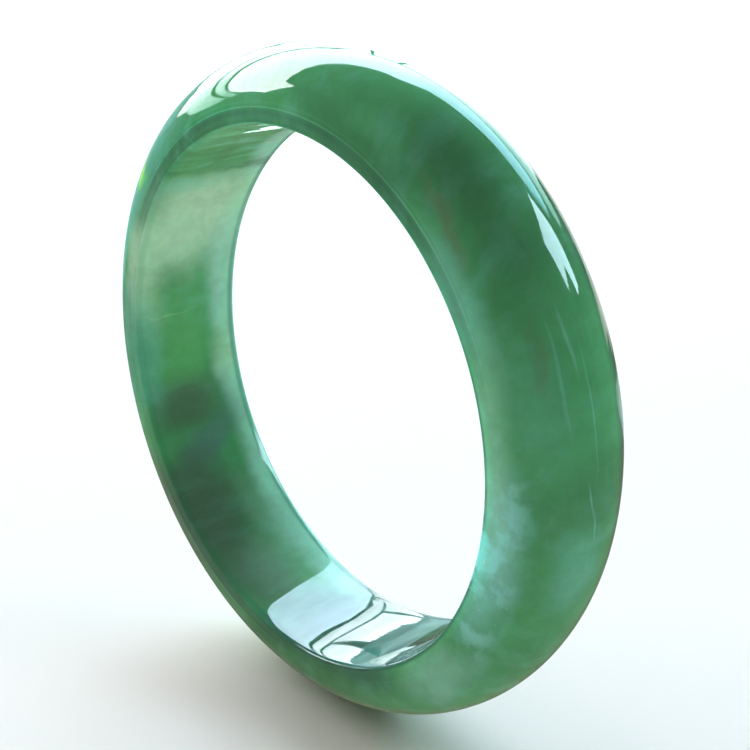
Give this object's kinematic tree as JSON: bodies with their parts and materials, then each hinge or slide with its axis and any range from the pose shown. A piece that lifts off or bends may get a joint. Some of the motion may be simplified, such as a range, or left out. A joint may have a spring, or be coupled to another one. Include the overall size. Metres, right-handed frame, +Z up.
{
  "type": "bangle bracelet",
  "caption": "Rigid one-piece ring of polished green stone with a smooth, very slightly crowned inner wall and a domed outside, slipped over the hand and worn on the wrist.",
  "frame": {"origin": "lowest point of the ring's crown, where it touches the surface it stands on, midway between its two sides", "axes": "+Z up, across the ring as it stands on its edge; +Y along the axis of the opening, with the front opening facing -Y; +X across the ring, to the right seen from the front"},
  "size_m": [0.071, 0.014, 0.071],
  "materials": {
    "jade": "high polish, cloudy and slightly translucent"
  },
  "bodies": {
    "root": {"jade_ring": "jade"}
  },
  "joints": []
}
